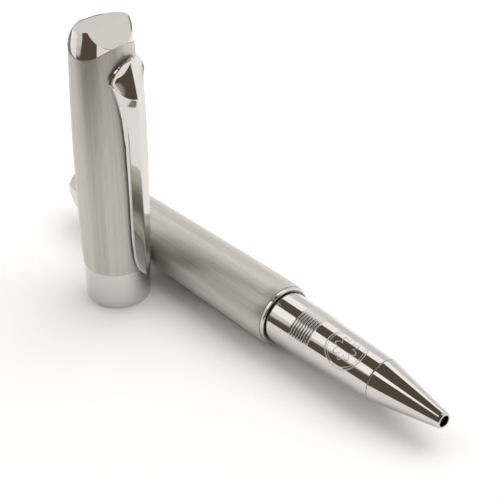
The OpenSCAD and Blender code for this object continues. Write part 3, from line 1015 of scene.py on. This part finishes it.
class PEN_OT_clip(BuildOperator):
    """Build the polished spade-headed clip and its tongue"""

    bl_idname = "pen.clip"
    bl_label = "Clip"

    def build(self, sizes):
        shape = ClipShape(sizes.clip)
        edge = sizes.clip.chamfer / MM
        bm = bmesh.new()
        half = 22
        shares = [math.sin(math.pi / 2 * (k / half)) for k in range(-half, half + 1)]
        shares = sorted({round(s, 6) for s in shares} | {-0.012, 0.012})
        blade_rows, head_rows = 110, 40
        rows = [("blade", (k / blade_rows) ** 1.15) for k in range(1, blade_rows)]
        rows += [("blade", 1.0)] + [("head", k / head_rows) for k in range(1, head_rows)]
        fronts, backs = [], []
        for part, q in rows:
            front_row, back_row = [], []
            for v in shares:
                crease = shape.crease_at(v)
                low, high = (shape.tip, crease) if part == "blade" else (crease, shape.top)
                z = low + (high - low) * q
                width = shape.width(z)
                y = v * width
                inner_y = v * max(width - edge, 0.55 * width)
                x = shape.front(inner_y, z, crease)
                front_row.append((x, inner_y, z))
                rim = shape.front(y, z, crease)
                back_row.append((shape.back(y, z, rim - 0.5 * edge), y, z))
            fronts.append(front_row)
            backs.append(back_row)
        loops = []
        for front_row, back_row in zip(fronts, backs):
            left, right = back_row[0], back_row[-1]
            ring = [bm.verts.new(Vector(p) * MM) for p in front_row]
            for end, corner in ((front_row[-1], right), (front_row[0], left)):
                side = Vector((end[0] - 0.55 * edge, corner[1], corner[2]))
                side.x = max(side.x, corner[0] + 0.05)
                ring.append(bm.verts.new(side * MM))
                if corner is right:
                    ring += [bm.verts.new(Vector(p) * MM) for p in reversed(back_row)]
            loops.append(ring)
        ends = []
        for z, row in ((shape.tip, fronts[0]), (shape.top, fronts[-1])):
            x = row[len(row) // 2][0] - 0.3
            ends.append([bm.verts.new(Vector((x, 0.0, z)) * MM)])
        skin(bm, [ends[0], *loops, ends[1]], False, True)
        piece(
            bm, "clip_blade", on_cap(), "chrome_cut", "clip", stands_for=["clip"], slot="polished_chrome",
            sharp=24.0, weighted=True,
        )  # fmt: skip
        bm = bmesh.new()
        bmesh.ops.create_cube(bm, size=1.0)
        size = Matrix.Diagonal((6.4 * MM, 3.0 * MM, 2.2 * MM, 1))
        bm.transform(Matrix.Translation((4.7 * MM, 0.0, sizes.clip.pivot)) @ size)
        bmesh.ops.bevel(bm, geom=bm.edges[:], offset=0.15 * MM, segments=3, affect="EDGES")
        piece(bm, "clip_tongue", on_cap(), "wire", "clip", slot="polished_chrome", sharp=60.0)


HIDDEN_LOOKS = {
    "brass_pen": ["thread_bush", "barrel_liner", "rear_plug", "thread_collar"],
    "brass_cap": ["cap_sleeve", "cap_plug"],
    "black_plastic": ["refill_stop", "refill_end_plug", "refill_collar", "cap_grip_ring", "cap_inner_cup"],
    "wire": ["rear_stud", "cap_finial_screw", "clip_pin", "nose_spring", "clip_spring"],
    "refill_shell": ["refill_tube"],
    "nickel": ["refill_tip"],
    "carbide": ["refill_ball"],
    "ink_fibre": ["refill_ink"],
    "seal_rubber": ["section_o_ring"],
}


class PEN_OT_inside(BuildOperator):
    """Give the pieces inside the pen and the cap their materials"""

    bl_idname = "pen.inside"
    bl_label = "Inside pieces"

    def build(self, sizes):
        for look, nodes in HIDDEN_LOOKS.items():
            for name in nodes:
                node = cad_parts[name]
                node.data.materials.clear()
                node.data.materials.append(material(look))


DIM = (0.115, 0.088, 0.066)
CARDS = [
    # azimuth from and to, elevation from and to, softness, strength, colour
    ((-185, -33), (-25, 54), 1.5, 0.82, (1.0, 0.985, 0.955)),
    ((-185, -31), (31, 54), 1.5, 1.25, (1.0, 0.99, 0.97)),
    ((-33, -17), (50, 66), 1.5, 1.3, (1.0, 0.99, 0.97)),
    ((112, 200), (-25, 80), 6.0, 0.95, (1.0, 0.965, 0.92)),
    ((66, 116), (-14, 60), 4.0, 0.42, (1.0, 0.93, 0.86)),
]


def card_mask(tree, azimuth, elevation, spans, soft):
    """1 inside a rectangle of directions and 0 outside, with soft edges."""
    (a0, a1), (e0, e1) = spans
    centre, reach = math.radians((a0 + a1) / 2), math.radians((a1 - a0) / 2)
    from_centre = maths(tree, "SUBTRACT", azimuth, centre)
    off = maths(tree, "ABSOLUTE", maths(tree, "WRAP", from_centre, math.pi, -math.pi))
    soft = math.radians(soft)
    sides = maths(tree, "DIVIDE", maths(tree, "SUBTRACT", reach, off), soft, clamp=True)
    low = maths(tree, "DIVIDE", maths(tree, "SUBTRACT", elevation, math.radians(e0)), soft, clamp=True)
    high = maths(tree, "DIVIDE", maths(tree, "SUBTRACT", math.radians(e1), elevation), soft, clamp=True)
    return maths(tree, "MULTIPLY", sides, maths(tree, "MULTIPLY", low, high))


class PEN_OT_stage(BuildOperator):
    """Build the table, the room's light and the camera"""

    bl_idname = "pen.stage"
    bl_label = "Stage"

    def build(self, sizes):
        stage = sizes.stage
        scene = bpy.context.scene
        bm = bmesh.new()
        bmesh.ops.create_grid(bm, x_segments=8, y_segments=8, size=0.5)
        bm.transform(Matrix.Translation((-0.375, 0.41, 0)))
        mesh = bpy.data.meshes.new("table")
        bm.to_mesh(mesh)
        bm.free()
        table = bpy.data.objects.new("table", mesh)
        scene.collection.objects.link(table)
        table.data.materials.append(material("table"))
        self.room(stage)
        self.lamp("key", (0.10, 0.42, 0.85), (0.02, 0.0, 0.0), 0.9, stage.key)
        self.lamp("left_fill", (-0.50, -0.10, 0.70), (0.02, 0.0, 0.0), 0.7, stage.key * 0.35)
        self.lamp("overhead", (0.05, 0.0, 0.75), (0.05, 0.0, 0.0), 1.6, stage.key * 0.8)
        camera = bpy.data.objects.new("camera", bpy.data.cameras.new("camera"))
        scene.collection.objects.link(camera)
        camera.data.lens = stage.lens
        camera.data.sensor_width = 36.0
        camera.data.clip_start, camera.data.clip_end = 0.01, 20.0
        turn = Matrix.Rotation(stage.heading, 4, "Z") @ Matrix.Rotation(math.pi / 2 - stage.pitch, 4, "X")
        camera.matrix_world = Matrix.Translation(stage.eye) @ turn @ Matrix.Rotation(stage.roll, 4, "Z")
        camera.data.shift_x, camera.data.shift_y = stage.shift
        scene.camera = camera
        scene.view_settings.view_transform = "Standard"
        scene.view_settings.look = "None"

    def lamp(self, name, place, target, size, power):
        """A soft square light that mirrors don't show."""
        data = bpy.data.lights.new(name, "AREA")
        data.shape, data.size, data.energy = "SQUARE", size, power
        made = bpy.data.objects.new(name, data)
        bpy.context.scene.collection.objects.link(made)
        made.location = place
        made.rotation_mode = "QUATERNION"
        made.rotation_quaternion = (Vector(target) - Vector(place)).to_track_quat("-Z", "Y")
        made.visible_glossy = False

    def room(self, stage):
        """A dim room with large pale cards hung round the pen, which the polished faces mirror."""
        world = bpy.data.worlds.new("room")
        bpy.context.scene.world = world
        world.use_nodes = True
        tree = world.node_tree
        background = tree.nodes["Background"]
        parts = tree.nodes.new("ShaderNodeSeparateXYZ")
        link(tree, tree.nodes.new("ShaderNodeTexCoord").outputs["Generated"], parts.inputs[0])
        azimuth = maths(tree, "ARCTAN2", parts.outputs[0], maths(tree, "MULTIPLY", parts.outputs[1], -1.0))
        elevation = maths(tree, "ARCSINE", parts.outputs[2])
        total = DIM
        for across, up, soft, strength, tint in CARDS:
            mask = card_mask(tree, azimuth, elevation, (across, up), soft)
            lit = tuple(c * strength * stage.fill for c in tint)
            total = mix_colour(tree, mask, total, lit)
        link(tree, total, background.inputs["Color"])


OPERATORS = (
    PEN_OT_barrel,
    PEN_OT_rear,
    PEN_OT_section,
    PEN_OT_cap,
    PEN_OT_finial,
    PEN_OT_clip,
    PEN_OT_inside,
    PEN_OT_stage,
)


class PEN_PT_panel(bpy.types.Panel):
    """The pen's settings and steps"""

    bl_idname = "PEN_PT_panel"
    bl_label = "Pen"
    bl_space_type = "VIEW_3D"
    bl_region_type = "UI"
    bl_category = "Pen"

    def draw(self, context):
        for operator in OPERATORS:
            self.layout.operator(operator.bl_idname)
        for name, group in GROUPS.items():
            box = self.layout.box()
            box.label(text=group.__doc__)
            for key in group.__annotations__:
                box.prop(getattr(context.scene.pen_settings, name), key)


CLASSES = (*GROUPS.values(), PenSettings, *OPERATORS, PEN_PT_panel)


def register():
    for made in CLASSES:
        bpy.utils.register_class(made)
    bpy.types.Scene.pen_settings = PointerProperty(type=PenSettings)


def unregister():
    del bpy.types.Scene.pen_settings
    for made in reversed(CLASSES):
        bpy.utils.unregister_class(made)


def main():
    register()
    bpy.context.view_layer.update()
    bpy.ops.pen.barrel()
    bpy.ops.pen.rear()
    bpy.ops.pen.section()
    bpy.ops.pen.cap()
    bpy.ops.pen.finial()
    bpy.ops.pen.clip()
    bpy.ops.pen.inside()
    bpy.ops.pen.stage()


if __name__ == "__main__":
    main()
